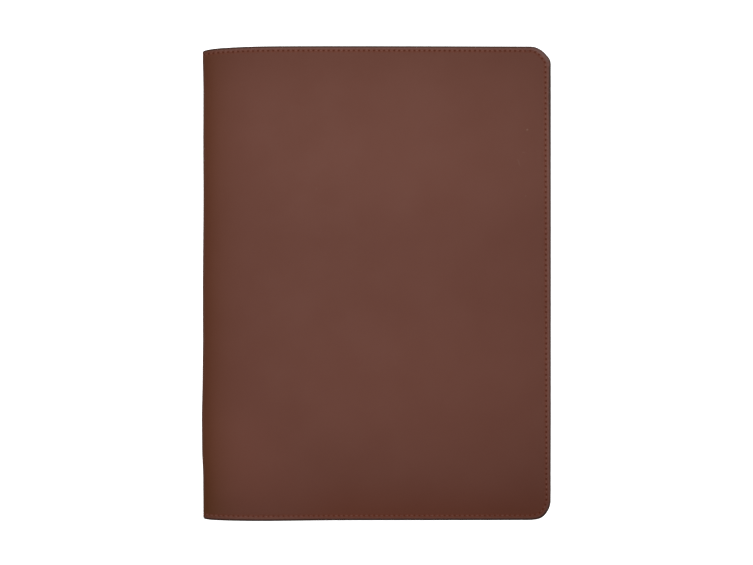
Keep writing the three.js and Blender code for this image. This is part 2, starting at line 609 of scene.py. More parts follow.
@dataclass
class LeatherSheet:
    """One piece of leather: cut flat, edged, pressed and folded.

    Depths are below the cover's outer face. The finished face is the one that the seam is pressed into.
    """

    name: str
    seam: Seam
    start: float
    end: float
    finished_depth: float
    plain_depth: float
    facing: Facing
    parts_per_stitch: int
    ring_steps: tuple[float, ...]
    plain_ring_steps: tuple[float, ...]
    columns: int
    rows: int
    wall_steps: tuple[WallStep, ...] = (
        WallStep(down=0.52),
        WallStep(down=0.82),
        WallStep(down=1.0, inset=0.3),
    )
    open_edge_cuts: tuple[float, ...] = (0.9, 0.45, 0.15, 0.0)
    grid_inset: float = 11.0
    spine_crowding: float = 0.0
    crowded_reach: float = 26.0
    holes: bool = False

    def build(self) -> bpy.types.Object:
        """Makes the piece.

        Returns:
            The finished mesh object, with its pattern map and its masks.
        """
        bpy.ops.object.select_all(action="DESELECT")
        bpy.ops.mesh.primitive_plane_add(size=1.0)
        piece = bpy.context.object
        piece.name = piece.data.name = self.name
        bpy.ops.object.mode_set(mode="EDIT")
        self._cut(piece)
        self._lay_face(piece, self.ring_steps)
        self._raise_wall(piece)
        self._lay_face(piece, self.plain_ring_steps)
        for place, outward in ((self.start, -1.0), (self.end, 1.0)):
            if not self._is_fore(place):
                self._cut_open_edge(piece, place, outward)
        bpy.ops.mesh.select_all(action="SELECT")
        bpy.ops.mesh.normals_make_consistent(inside=False)
        bpy.ops.object.mode_set(mode="OBJECT")
        self._press_and_fold(piece)
        bpy.ops.object.shade_smooth()
        return piece

    def _is_fore(self, place: float) -> bool:
        """Whether a place along the girth is at one of the rounded fore edges."""
        return min(abs(place), abs(place - self.seam.fold.girth)) < TOUCHING

    def _cut(self, piece: bpy.types.Object) -> None:
        """Cuts the whole cover's outline, with rounded corners, and marks the stitches off along it."""
        seam = self.seam
        height = 2 * seam.half_height
        bpy.ops.mesh.select_all(action="SELECT")
        bpy.ops.transform.resize(value=(seam.fold.girth, height, 1.0))
        bpy.ops.transform.translate(value=(seam.half_girth, 0.0, -self.finished_depth))
        bpy.ops.mesh.bevel(
            offset_type="OFFSET",
            offset=seam.radius,
            segments=seam.sizes.stitches_round_corner * self.parts_per_stitch,
            profile=0.5,
            affect="VERTICES",
        )
        bpy.ops.mesh.select_all(action="SELECT")
        bpy.ops.mesh.delete(type="ONLY_FACE")

        def side(edge: bmesh.types.BMEdge, axis: int) -> bool:
            """Whether an edge is a straight side along the axis."""
            ends = [vert.co for vert in edge.verts]
            return edge.calc_length() > seam.radius and abs(ends[0][1 - axis] - ends[1][1 - axis]) < TOUCHING

        select(piece, "EDGE", lambda edge: side(edge, 0))
        divide_selected_edges(seam.sizes.stitches_across * self.parts_per_stitch)
        select(piece, "EDGE", lambda edge: side(edge, 1))
        divide_selected_edges(seam.sizes.stitches_up * self.parts_per_stitch)
        bpy.ops.mesh.select_all(action="SELECT")
        bpy.ops.mesh.edge_face_add()

    def _cut_open_edge(self, piece: bpy.types.Object, place: float, outward: float) -> None:
        """Cuts the leather across at a pocket's open edge and closes the cut."""
        for inside in self.open_edge_cuts:
            bpy.ops.mesh.select_all(action="SELECT")
            bpy.ops.mesh.bisect(
                plane_co=(place - outward * inside, 0.0, 0.0),
                plane_no=(outward, 0.0, 0.0),
                clear_outer=inside == 0.0,
            )
        select(piece, "EDGE", lambda edge: len(edge.link_faces) == 1)
        bpy.ops.mesh.fill(use_beauty=True)

    def _outline_distance(self, u: np.ndarray, v: np.ndarray) -> np.ndarray:
        """How far flat points lie inside this piece's own outline."""
        distance, _ = self.seam.edge_distance(u, v)
        for place in (self.start, self.end):
            if not self._is_fore(place):
                distance = np.minimum(distance, np.abs(u - place))
        return distance

    def _lay_face(self, piece: bpy.types.Object, steps: tuple[float, ...]) -> None:
        """Insets the selected outline ring by ring and fills its middle with an even grid."""
        bpy.ops.mesh.select_mode(type="FACE")
        for step in steps:
            bpy.ops.mesh.inset(thickness=step, depth=0.0)
        mesh = bmesh.from_edit_mesh(piece.data)
        level = next(face.calc_center_median().z for face in mesh.faces if face.select)
        bpy.ops.mesh.delete(type="ONLY_FACE")
        low, high = self.grid_inset, self.seam.fold.girth - self.grid_inset
        reach = 2 * (self.seam.half_height - self.grid_inset)
        bpy.ops.mesh.primitive_grid_add(x_subdivisions=self.columns, y_subdivisions=self.rows, size=1.0)
        bpy.ops.transform.resize(value=(high - low, reach, 1.0))
        bpy.ops.transform.translate(value=((low + high) / 2, 0.0, level))
        self._crowd_columns(piece, low, high)
        inside = sum(steps) / 2

        def open_edge(edge: bmesh.types.BMEdge) -> bool:
            """Whether an edge still waits for the strip between the rings and the grid."""
            if len(edge.link_faces) != 1:
                return False
            middle = (edge.verts[0].co + edge.verts[1].co) / 2
            distance, _ = self.seam.edge_distance(np.array([middle.x]), np.array([middle.y]))
            return abs(middle.z - level) < TOUCHING and distance[0] > inside

        select(piece, "EDGE", open_edge)
        bpy.ops.mesh.fill(use_beauty=True)

    def _crowd_columns(self, piece: bpy.types.Object, low: float, high: float) -> None:
        """Moves the new grid's columns closer together round the spine."""
        samples = 2000
        places = np.linspace(low, high, samples)
        from_tip = (places - self.seam.fold.tip) / self.crowded_reach
        crowd = 1.0 + self.spine_crowding * np.exp(-(from_tip**4))
        reached = np.concatenate([[0.0], np.cumsum((crowd[1:] + crowd[:-1]) / 2)])
        reached /= reached[-1]
        mesh = bmesh.from_edit_mesh(piece.data)
        for vert in mesh.verts:
            if vert.select:
                vert.co.x = np.interp((vert.co.x - low) / (high - low), reached, places)
        bmesh.update_edit_mesh(piece.data)

    def _raise_wall(self, piece: bpy.types.Object) -> None:
        """Draws the outline down to the plain face, with a softened arris there."""
        select(piece, "EDGE", lambda edge: len(edge.link_faces) == 1)
        height = 2 * self.seam.half_height
        length = self.seam.fold.girth
        middle = (self.seam.half_girth, 0.0, -self.plain_depth)
        toward_plain = self.finished_depth - self.plain_depth
        done = 0.0
        for wall in self.wall_steps:
            step = toward_plain * wall.down - done
            done += step
            bpy.ops.mesh.extrude_edges_move(TRANSFORM_OT_translate={"value": (0.0, 0.0, step)})
            if wall.inset:
                scale = (1 - 2 * wall.inset / length, 1 - 2 * wall.inset / height, 1.0)
                bpy.ops.transform.resize(value=scale, center_override=middle)
        bpy.ops.mesh.edge_face_add()

    def _press_and_fold(self, piece: bpy.types.Object) -> None:
        """Presses the seam into the finished face, notes the masks and the pattern map, and folds."""
        mesh, seam = piece.data, self.seam
        flat = np.zeros(len(mesh.vertices) * 3)
        mesh.vertices.foreach_get("co", flat)
        flat = flat.reshape(-1, 3)
        finished = np.abs(flat[:, 2] + self.finished_depth) < TOUCHING
        plain = np.abs(flat[:, 2] + self.plain_depth) < TOUCHING
        masks = self._masks(flat, finished, plain)
        for mask, values in masks.items():
            layer = mesh.attributes.new(mask.value, "FLOAT", "POINT")
            layer.data.foreach_set("value", values.astype(np.float32))
        lay_pattern_map(mesh, flat[:, :2] * MILLIMETRE)
        plain_faces = [all(plain[vertex] for vertex in polygon.vertices) for polygon in mesh.polygons]
        mesh.polygons.foreach_set("material_index", np.array(plain_faces, np.int32))
        relief = self._relief(flat, masks[Mask.NEEDLE_HOLE])
        flat[:, 2] += np.where(finished, relief, 0.0) * self.facing.value
        mesh.vertices.foreach_set("co", seam.fold.place(seam.drift(flat)).ravel())
        mesh.update()
        face_outwards(piece)

    def _relief(self, flat: np.ndarray, hole: np.ndarray) -> np.ndarray:
        """How high the finished face stands at each point, where the seam presses it.

        Args:
            flat: A row for each point of the flat leather.
            hole: How much of a needle hole is at each point.

        Returns:
            The heights, out of the finished face.
        """
        seam, sizes = self.seam, self.seam.sizes
        u, v, _ = flat.T
        distance, turn = seam.edge_distance(u, v)
        along = seam.from_hole(u, v, turn)
        pucker = sizes.pucker * np.cos(2 * math.pi * along / seam.pitch_up)
        pucker *= bump(distance, sizes.bead_middle, sizes.bead_spread) * self.holes
        arris = seam.arris(self._outline_distance(u, v), seam.arris_width(v, turn))
        return arris + seam.pressed(distance) - pucker - sizes.hole_depth * hole

    def _masks(self, flat: np.ndarray, finished: np.ndarray, plain: np.ndarray) -> dict[Mask, np.ndarray]:
        """Works out where the leather is edge-painted, pierced, burnished with a painted sheen, given a
        painted highlight at the head corners, given painted shade round the spine, and dry.

        Args:
            flat: A row for each point of the flat leather.
            finished: Whether each point is on the finished face.
            plain: Whether each point is on the plain face.

        Returns:
            Each mask's value at each point, from 0 to 1.
        """
        seam, sizes = self.seam, self.seam.sizes
        u, v, _ = flat.T
        distance, turn = seam.edge_distance(u, v)
        from_tail = seam.half_height + v
        at_tail = np.where(v < 0.0, ease(turn, 0.0, 1.0), 0.0)
        hole = seam.hole(distance, seam.from_hole(u, v, turn)) * self.holes
        hole *= 1.0 - sizes.fainter_at_tail * at_tail
        painted = 1.0 - ease(self._outline_distance(u, v) / seam.arris_width(v, turn), *sizes.paint_rim)
        painted[~(finished | plain)] = 1.0
        # Painted shade round the spine, fuller towards the tail.
        spine_shade = sizes.spine_shade_at_head + (1.0 - sizes.spine_shade_at_head) * fade(from_tail, sizes.spine_shade_reach)
        on_finished_face = {
            Mask.SEAM_PRESS: bump(distance, sizes.mean_inset, sizes.press_spread),
            Mask.NEEDLE_HOLE: hole,
            # Burnished bead, with painted sheen.
            Mask.RUBBED: bump(distance, sizes.burnish_and_sheen_middle, sizes.burnish_and_sheen_spread),
            # Painted highlight on the bead at the head corners.
            Mask.WORN: seam.head_corner(v, turn) * bump(distance, sizes.corner_highlight_middle, sizes.corner_highlight_spread),
            # Painted shade on the spine's roll.
            Mask.STRETCHED: spine_shade * bump(u, seam.fold.tip, sizes.spine_shade_spread),
            Mask.DRY: fade(from_tail, sizes.dry_reach) * (1.0 - ease(u, *sizes.dry_ends)),
        }
        masks = {mask: values * finished for mask, values in on_finished_face.items()}
        return {Mask.EDGE_PAINT: painted, **masks}


@dataclass
class SeamThread:
    """The stitches that show on one side of the leather."""

    name: str
    seam: Seam
    facing: Facing
    radius: float = 0.34
    flatness: float = 0.62
    gap: float = 1.35
    dive: float = 0.7
    dive_power: int = 5
    taper: float = 0.55
    taper_power: int = 6
    end_crowding: float = 1.35
    sides: int = 6
    cuts: int = 5

    def build(self) -> bpy.types.Object:
        """Makes one stitch and lays a copy of it between each two holes.

        Returns:
            The finished mesh object.
        """
        stitch = self._model_stitch()
        template = np.array([vert.co for vert in stitch.data.vertices])
        faces = [tuple(polygon.vertices) for polygon in stitch.data.polygons]
        bpy.data.objects.remove(stitch)
        depths = {number: self._depth_at(number) for number in range(self.seam.total)}
        laid = {number: depth for number, depth in depths.items() if depth is not None}
        turned = np.arctan2(template[:, 2], template[:, 1]) / (2 * math.pi)
        rows, places = [], []
        for number, depth in laid.items():
            count = number + 0.5 + template[:, 0]
            path, inward = self.seam.path(count)
            out = self.facing.value * template[:, 2] - depth
            flat = np.column_stack([path + inward * template[:, 1:2], out])
            rows.append(self.seam.fold.place(self.seam.drift(flat)))
            places.append(np.column_stack([count * self.seam.pitch_up, turned]))
        mesh = bpy.data.meshes.new(self.name)
        size = len(template)
        joined = [tuple(v + size * k for v in face) for k in range(len(laid)) for face in faces]
        mesh.from_pydata(np.vstack(rows).tolist(), [], joined)
        lay_pattern_map(mesh, np.vstack(places))
        piece = bpy.data.objects.new(self.name, mesh)
        bpy.context.scene.collection.objects.link(piece)
        face_outwards(piece)
        bpy.ops.object.shade_smooth()
        return piece

    def _depth_at(self, number: int) -> float | None:
        """The depth of the face that a stitch lies on, or None where a pocket's open edge crosses it."""
        sizes = self.seam.fold.sizes
        if self.facing is Facing.OUT:
            return 0.0
        middle, _ = self.seam.path(np.array([number + 0.5]))
        from_fore = min(middle[0, 0], self.seam.fold.girth - middle[0, 0])
        if abs(from_fore - sizes.pocket_width) < self.seam.pitch_across:
            return None
        if from_fore < sizes.pocket_width:
            return sizes.cover_leather + sizes.glue_line + sizes.pocket_leather
        return sizes.cover_leather

    def _model_stitch(self) -> bpy.types.Object:
        """Models one stitch along X, a pitch long, which rises from one hole and sinks into the next."""
        bpy.ops.object.select_all(action="DESELECT")
        bpy.ops.mesh.primitive_cylinder_add(
            vertices=self.sides, radius=self.radius, depth=1.0, rotation=(0.0, math.pi / 2, 0.0)
        )
        stitch = bpy.context.object
        bpy.ops.object.transform_apply(rotation=True)
        bpy.ops.object.mode_set(mode="EDIT")
        for cut in range(self.cuts):
            bpy.ops.mesh.select_all(action="SELECT")
            place = -0.5 + (cut + 1) / (self.cuts + 1)
            bpy.ops.mesh.bisect(plane_co=(place, 0.0, 0.0), plane_no=(1.0, 0.0, 0.0))
        bpy.ops.object.mode_set(mode="OBJECT")
        length = 1.0 - self.gap / self.seam.pitch_up
        for vert in stitch.data.vertices:
            share = abs(vert.co.x) * 2
            thin = 1.0 - self.taper * share**self.taper_power
            sink = self.dive * share**self.dive_power
            vert.co.y *= thin
            vert.co.z = vert.co.z * thin * self.flatness - sink
            eased = math.copysign(0.5 * (1.0 - (1.0 - share) ** self.end_crowding), vert.co.x)
            vert.co.x = eased * length
        return stitch


class NodeBench:
    """Adds and joins the nodes of one material or group."""

    SPACING = 180

    def __init__(self, tree: bpy.types.NodeTree) -> None:
        """Keeps the tree and counts its nodes, to set them out in a row."""
        self.tree = tree
        self.count = 0

    def feed(self, node: bpy.types.Node, inputs: dict[str | int, Value]) -> None:
        """Sets a node's inputs, each to a value or from another node's socket.

        Args:
            node: The node.
            inputs: A value or a socket for each input that is set, by name or number.
        """
        for name, value in inputs.items():
            if isinstance(value, bpy.types.NodeSocket):
                self.tree.links.new(value, node.inputs[name])
            else:
                node.inputs[name].default_value = value

    def add(
        self, kind: str, inputs: dict[str | int, Value] | None = None, **settings: object
    ) -> bpy.types.Node:
        """Adds one node.

        Args:
            kind: The node's type, without its ShaderNode start.
            inputs: A value or a socket for each input that is set, by name or number.
            settings: The node's own settings.

        Returns:
            The node.
        """
        node = self.tree.nodes.new(f"ShaderNode{kind}")
        node.location = (self.SPACING * self.count, 0)
        self.count += 1
        for name, value in settings.items():
            setattr(node, name, value)
        self.feed(node, inputs or {})
        return node

    def math(self, operation: str, *values: Value) -> bpy.types.NodeSocket:
        """Adds a Math node and gives its output."""
        return self.add("Math", dict(enumerate(values)), operation=operation).outputs[0]

    def vector(self, operation: str, *values: Value) -> bpy.types.NodeSocket:
        """Adds a Vector Math node and gives its vector output."""
        return self.add("VectorMath", dict(enumerate(values)), operation=operation).outputs[0]

    def step(self, value: Value, low: float, high: float) -> bpy.types.NodeSocket:
        """Adds a smooth step from 0 at low to 1 at high and gives its output."""
        inputs = {"Value": value, "From Min": low, "From Max": high}
        return self.add("MapRange", inputs, interpolation_type="SMOOTHSTEP").outputs[0]

    def scaled(self, value: Value, scale: float) -> bpy.types.NodeSocket:
        """Scales a vector and gives it."""
        return self.add("VectorMath", {0: value, "Scale": scale}, operation="SCALE").outputs[0]

    def mix(self, share: Value, first: Value, second: Value) -> bpy.types.NodeSocket:
        """Adds a colour mix and gives its output."""
        return self.add("Mix", {0: share, 6: first, 7: second}, data_type="RGBA").outputs[2]


class MaterialBench(NodeBench):
    """The nodes of one material, which end in its shader."""

    def __init__(self, name: str) -> None:
        """Makes the material."""
        self.material = bpy.data.materials.new(name)
        self.material.use_nodes = True
        super().__init__(self.material.node_tree)

    def flat_place(self) -> bpy.types.NodeSocket:
        """The place on the pattern map."""
        return self.add("UVMap", None, uv_map=PATTERN_MAP).outputs[0]

    def mask(self, mask: Mask) -> bpy.types.NodeSocket:
        """The value of one of the leather's masks."""
        return self.add("Attribute", None, attribute_name=mask.value).outputs["Fac"]

    def finish(self, inputs: dict[str, Value]) -> bpy.types.Material:
        """Sets the shader's inputs and gives the material."""
        self.feed(self.tree.nodes["Principled BSDF"], inputs)
        return self.material


class Sort(Enum):
    """The sorts of socket that a node group has."""

    NUMBER = "NodeSocketFloat"
    VECTOR = "NodeSocketVector"
    COLOUR = "NodeSocketColor"


class EffectGroup:
    """A node group that several finishes share."""

    name = ""
    takes: tuple[tuple[str, Sort], ...] = ()
    gives: tuple[tuple[str, Sort], ...] = ()

    def __init__(self) -> None:
        """Makes the group's sockets and then its nodes."""
        self.tree = bpy.data.node_groups.new(self.name, "ShaderNodeTree")
        for direction, sockets in (("INPUT", self.takes), ("OUTPUT", self.gives)):
            for label, sort in sockets:
                self.tree.interface.new_socket(name=label, in_out=direction, socket_type=sort.value)
        self.bench = NodeBench(self.tree)
        self.source = self.tree.nodes.new("NodeGroupInput").outputs
        results = self.make()
        sink = self.tree.nodes.new("NodeGroupOutput").inputs
        for label, socket in results.items():
            self.tree.links.new(socket, sink[label])

    def make(self) -> dict[str, bpy.types.NodeSocket]:
        """Adds the nodes and gives a socket for each output."""
        raise NotImplementedError

    def put(self, bench: NodeBench, inputs: dict[str, Value]) -> bpy.types.bpy_prop_collection:
        """Places the group in a material and gives its outputs."""
        return bench.add("Group", inputs, node_tree=self.tree).outputs


class HideGrain(EffectGroup):
    """Fine creased grain with pores. Places are in millimetres of flat leather."""

    name = "Hide grain"
    takes = (
        ("Place", Sort.VECTOR),
        ("Cells per mm", Sort.NUMBER),
        ("Creases", Sort.NUMBER),
        ("Swells", Sort.NUMBER),
    )
    gives = (("Height", Sort.NUMBER), ("Pores", Sort.NUMBER))
    bend = 0.55
    crease_width = 0.34
    pore_rim = (0.04, 0.16)

    def make(self) -> dict[str, bpy.types.NodeSocket]:
        """Bends a cell pattern with noise, keeps its creases and adds longer swells."""
        bench, source = self.bench, self.source
        warp = bench.add("TexNoise", {"Vector": source["Place"], "Scale": 0.45, "Detail": 2.0})
        centred = bench.vector("SUBTRACT", warp.outputs["Color"], (0.5, 0.5, 0.5))
        bent = bench.vector("ADD", source["Place"], bench.scaled(centred, self.bend))
        cell = {"Vector": bent, "Scale": source["Cells per mm"]}
        cells = bench.add("TexVoronoi", cell, feature="DISTANCE_TO_EDGE")
        crease = bench.step(cells.outputs["Distance"], 0.0, self.crease_width)
        swell = bench.add("TexNoise", {"Vector": bent, "Scale": 0.22, "Detail": 4.0, "Roughness": 0.6})
        height = bench.math("MULTIPLY", crease, source["Creases"])
        rise = bench.math("MULTIPLY", swell.outputs["Fac"], source["Swells"])
        pore = bench.add("TexVoronoi", {"Vector": bent, "Scale": 0.9, "Randomness": 1.0})
        pores = bench.math("SUBTRACT", 1.0, bench.step(pore.outputs["Distance"], *self.pore_rim))
        return {"Height": bench.math("ADD", height, rise), "Pores": pores}


class HideTone(EffectGroup):
    """The dye's uneven tone: wide clouds and small flecks."""

    name = "Hide tone"
    takes = (
        ("Place", Sort.VECTOR),
        ("Colour", Sort.COLOUR),
        ("Deep colour", Sort.COLOUR),
        ("Unevenness", Sort.NUMBER),
    )
    gives = (("Colour", Sort.COLOUR), ("Cloud", Sort.NUMBER))
    clouds = {"Scale": 0.028, "Detail": 3.0, "Roughness": 0.55}
    cloud_rim = (0.2, 0.8)
    cloud_share = 0.6
    flecks = {"Scale": 0.7, "Detail": 3.0, "Roughness": 0.7}
    fleck_rim = (0.3, 0.75)
    fleck_share = 0.4

    def make(self) -> dict[str, bpy.types.NodeSocket]:
        """Mixes the two colours by two sizes of noise."""
        bench, source = self.bench, self.source
        wide = bench.add("TexNoise", {"Vector": source["Place"], **self.clouds})
        small = bench.add("TexNoise", {"Vector": source["Place"], **self.flecks})
        cloud = bench.step(wide.outputs["Fac"], *self.cloud_rim)
        fleck = bench.step(small.outputs["Fac"], *self.fleck_rim)
        clouded = bench.math("MULTIPLY", cloud, self.cloud_share)
        both = bench.math("ADD", clouded, bench.math("MULTIPLY", fleck, self.fleck_share))
        share = bench.math("MULTIPLY", both, source["Unevenness"])
        return {"Colour": bench.mix(share, source["Colour"], source["Deep colour"]), "Cloud": cloud}


class PaintedEdge(EffectGroup):
    """Dark edge paint over the rounded cut edge."""

    name = "Painted edge"
    takes = (
        ("Colour", Sort.COLOUR),
        ("Roughness", Sort.NUMBER),
        ("Paint", Sort.NUMBER),
        ("Paint colour", Sort.COLOUR),
        ("Paint roughness", Sort.NUMBER),
    )
    gives = (("Colour", Sort.COLOUR), ("Roughness", Sort.NUMBER))

    def make(self) -> dict[str, bpy.types.NodeSocket]:
        """Lays the paint's colour and gloss over the leather's."""
        bench, source = self.bench, self.source
        colour = bench.mix(source["Paint"], source["Colour"], source["Paint colour"])
        gap = bench.math("SUBTRACT", source["Paint roughness"], source["Roughness"])
        change = bench.math("MULTIPLY", gap, source["Paint"])
        return {"Colour": colour, "Roughness": bench.math("ADD", source["Roughness"], change)}


class FaintMark(EffectGroup):
    """One faint rub or scratch at a place on the leather."""

    name = "Faint mark"
    takes = (
        ("Place", Sort.VECTOR),
        ("Centre", Sort.VECTOR),
        ("Turn", Sort.NUMBER),
        ("Size", Sort.VECTOR),
    )
    gives = (("Mark", Sort.NUMBER),)
    solid_to = 0.2

    def make(self) -> dict[str, bpy.types.NodeSocket]:
        """Turns the place round the mark's centre and fades the mark out over its length and width."""
        bench, source = self.bench, self.source
        moved = bench.vector("SUBTRACT", source["Place"], source["Centre"])
        turn = {"Vector": moved, "Angle": source["Turn"]}
        turned = bench.add("VectorRotate", turn, rotation_type="Z_AXIS")
        shares = bench.vector("DIVIDE", turned.outputs[0], source["Size"])
        reach = bench.add("VectorMath", {0: shares}, operation="LENGTH").outputs["Value"]
        return {"Mark": bench.math("SUBTRACT", 1.0, bench.step(reach, self.solid_to, 1.0))}


@dataclass
class Effects:
    """The node groups, each made once."""

    grain: HideGrain = field(default_factory=HideGrain)
    tone: HideTone = field(default_factory=HideTone)
    edge: PaintedEdge = field(default_factory=PaintedEdge)
    mark: FaintMark = field(default_factory=FaintMark)


@dataclass(frozen=True)
class Mark:
    """A faint mark on the front cover, in millimetres from the fore edge and from the middle up."""

    from_fore: float
    up: float
    length: float
    width: float
    turn: float
    strength: float


@dataclass(frozen=True)
class HideFinish:
    """Dyed leather with a fine grain and a painted cut edge, with painted shade and painted highlights in its
    colour along the seam and round the spine.
    """

    name: str
    colour: Colour = (0.119, 0.0332, 0.0176, 1.0)
    deep_colour: Colour = (0.0945, 0.0245, 0.0122, 1.0)
    seam_colour: Colour = (0.178, 0.046, 0.0235, 1.0)
    # Painted shade in the needle holes; the same dark colour makes the darker faint marks.
    hole_shade_and_dark_mark_colour: Colour = (0.088, 0.0175, 0.0062, 1.0)
    # Painted sheen on the burnished bead between the seam and the edge.
    painted_bead_sheen_colour: Colour = (0.122, 0.041, 0.027, 1.0)
    # Painted shade on the spine's roll, deeper towards the tail.
    painted_spine_shade_colour: Colour = (0.094, 0.0245, 0.003, 1.0)
    # Painted highlight on the bead at the head corners.
    painted_corner_highlight_colour: Colour = (0.14, 0.066, 0.056, 1.0)
    paint_colour: Colour = (0.044, 0.018, 0.0115, 1.0)
    mark_colour: Colour = (0.17, 0.075, 0.05, 1.0)
    roughness: float = 0.66
    rubbed_roughness: float = 0.49
    dry_roughness: float = 0.95
    paint_roughness: float = 0.45
    sheen: float = 0.2
    sheen_roughness: float = 0.3
    refraction: float = 1.38
    unevenness: float = 0.34
    cloud_wear: float = 0.04
    pore_share: float = 0.22
    seam_share: float = 0.6
    hole_rim: tuple[float, float] = (0.16, 0.62)
    paint_fill: float = 0.7
    cells_per_mm: float = 2.1
    creases: float = 0.62
    swells: float = 0.7
    grain_depth: float = 0.00006
    marks: tuple[Mark, ...] = ()

    def make(self, effects: Effects) -> bpy.types.Material:
        """Builds the material.

        Args:
            effects: The shared node groups.

        Returns:
            The material.
        """
        bench = MaterialBench(self.name)
        place = bench.scaled(bench.flat_place(), 1 / MILLIMETRE)
        masks = {mask: bench.mask(mask) for mask in Mask}
        grain = effects.grain.put(
            bench,
            {
                "Place": place,
                "Cells per mm": self.cells_per_mm,
                "Creases": self.creases,
                "Swells": self.swells,
            },
        )
        tone = effects.tone.put(
            bench,
            {
                "Place": place,
                "Colour": self.colour,
                "Deep colour": self.deep_colour,
                "Unevenness": self.unevenness,
            },
        )
        pores = bench.math("MULTIPLY", grain["Pores"], self.pore_share)
        colour = bench.mix(pores, tone["Colour"], self.deep_colour)
        colour = self._colour_seam_and_painted_light(bench, masks, colour)
        colour = self._mark_leather(effects, bench, place, colour)
        finished = effects.edge.put(
            bench,
            {
                "Colour": colour,
                "Roughness": self._roughness(bench, masks, tone["Cloud"]),
                "Paint": masks[Mask.EDGE_PAINT],
                "Paint colour": self.paint_colour,
                "Paint roughness": self.paint_roughness,
            },
        )
        painted = bench.math("MULTIPLY", masks[Mask.EDGE_PAINT], self.paint_fill)
        height = bench.math("MULTIPLY", grain["Height"], bench.math("SUBTRACT", 1.0, painted))
        normal = bench.add("Bump", {"Height": height, "Distance": self.grain_depth, "Strength": 1.0})
        return bench.finish(
            {
                "Base Color": finished["Colour"],
                "Roughness": finished["Roughness"],
                "Normal": normal.outputs[0],
                "IOR": self.refraction,
                "Sheen Weight": self.sheen,
                "Sheen Roughness": self.sheen_roughness,
            }
        )

    def _colour_seam_and_painted_light(
        self, bench: MaterialBench, masks: dict[Mask, Value], colour: bpy.types.NodeSocket
    ) -> bpy.types.NodeSocket:
        """Colours, in turn: painted shade on the spine's roll, a painted sheen on the burnished bead, a
        painted highlight on the bead at the head corners, the pressed seam, and painted shade in the needle
        holes.

        Args:
            bench: The material's nodes.
            masks: A socket for each mask.
            colour: The leather's own colour.

        Returns:
            The colour with all of them.
        """
        pressed = bench.math("MULTIPLY", masks[Mask.SEAM_PRESS], self.seam_share)
        layers = (
            # Painted shade on the spine's roll.
            (masks[Mask.STRETCHED], self.painted_spine_shade_colour),
            # Painted sheen on the burnished bead.
            (masks[Mask.RUBBED], self.painted_bead_sheen_colour),
            # Painted highlight on the bead at the head corners.
            (masks[Mask.WORN], self.painted_corner_highlight_colour),
            (pressed, self.seam_colour),
            # Painted shade in the needle holes.
            (bench.step(masks[Mask.NEEDLE_HOLE], *self.hole_rim), self.hole_shade_and_dark_mark_colour),
        )
        for share, layer in layers:
            colour = bench.mix(share, colour, layer)
        return colour

    def _mark_leather(
        self, effects: Effects, bench: MaterialBench, place: Value, colour: bpy.types.NodeSocket
    ) -> bpy.types.NodeSocket:
        """Adds the faint marks, paler or darker than the leather by the sign of their strength.

        Args:
            effects: The shared node groups.
            bench: The material's nodes.
            place: The place on the flat leather, in millimetres.
            colour: The leather's colour.

        Returns:
            The colour with the marks.
        """
        for mark in self.marks:
            found = effects.mark.put(
                bench,
                {
                    "Place": place,
                    "Centre": (mark.from_fore, mark.up, 0.0),
                    "Turn": math.radians(mark.turn),
                    "Size": (mark.length / 2, mark.width / 2, 1.0),
                },
            )
            share = bench.math("MULTIPLY", found["Mark"], abs(mark.strength))
            colour = bench.mix(share, colour, self.mark_colour if mark.strength > 0 else self.hole_shade_and_dark_mark_colour)
        return colour

    def _roughness(
        self, bench: MaterialBench, masks: dict[Mask, Value], cloud: Value
    ) -> bpy.types.NodeSocket:
        """How rough the leather is: smoother where the bead is burnished, rougher in the holes and where it
        is dry.

        Args:
            bench: The material's nodes.
            masks: A socket for each mask.
            cloud: The dye's wide clouds, from 0 to 1.

        Returns:
            The roughness.
        """
        wear = bench.math("MULTIPLY", bench.math("SUBTRACT", cloud, 0.5), self.cloud_wear)
        roughness = bench.math("ADD", self.roughness, wear)
        changes = (
            (Mask.RUBBED, self.rubbed_roughness),
            (Mask.NEEDLE_HOLE, 1.0),
            (Mask.DRY, self.dry_roughness),
        )
        for mask, reached in changes:
            change = bench.math("MULTIPLY", masks[mask], reached - self.roughness)
            roughness = bench.math("ADD", roughness, change)
        return roughness


@dataclass(frozen=True)
class FleshFinish:
    """The leather's unfinished inner side: short, matt nap."""

    name: str
    colour: Colour = (0.105, 0.046, 0.03, 1.0)
    deep_colour: Colour = (0.07, 0.029, 0.018, 1.0)
    paint_colour: Colour = (0.018, 0.0095, 0.006, 1.0)
    paint_roughness: float = 0.5
    roughness: float = 0.92
    sheen: float = 0.15
    unevenness: float = 0.9
    nap_depth: float = 0.00012

    def make(self, effects: Effects) -> bpy.types.Material:
        """Builds the material from the shared groups and gives it."""
        bench = MaterialBench(self.name)
        place = bench.scaled(bench.flat_place(), 1 / MILLIMETRE)
        tone = effects.tone.put(
            bench,
            {
                "Place": place,
                "Colour": self.colour,
                "Deep colour": self.deep_colour,
                "Unevenness": self.unevenness,
            },
        )
        finished = effects.edge.put(
            bench,
            {
                "Colour": tone["Colour"],
                "Roughness": self.roughness,
                "Paint": bench.mask(Mask.EDGE_PAINT),
                "Paint colour": self.paint_colour,
                "Paint roughness": self.paint_roughness,
            },
        )
        nap = bench.add("TexNoise", {"Vector": place, "Scale": 3.2, "Detail": 5.0, "Roughness": 0.75})
        normal = bench.add("Bump", {"Height": nap.outputs["Fac"], "Distance": self.nap_depth})
        return bench.finish(
            {
                "Base Color": finished["Colour"],
                "Roughness": finished["Roughness"],
                "Normal": normal.outputs[0],
                "Sheen Weight": self.sheen,
            }
        )


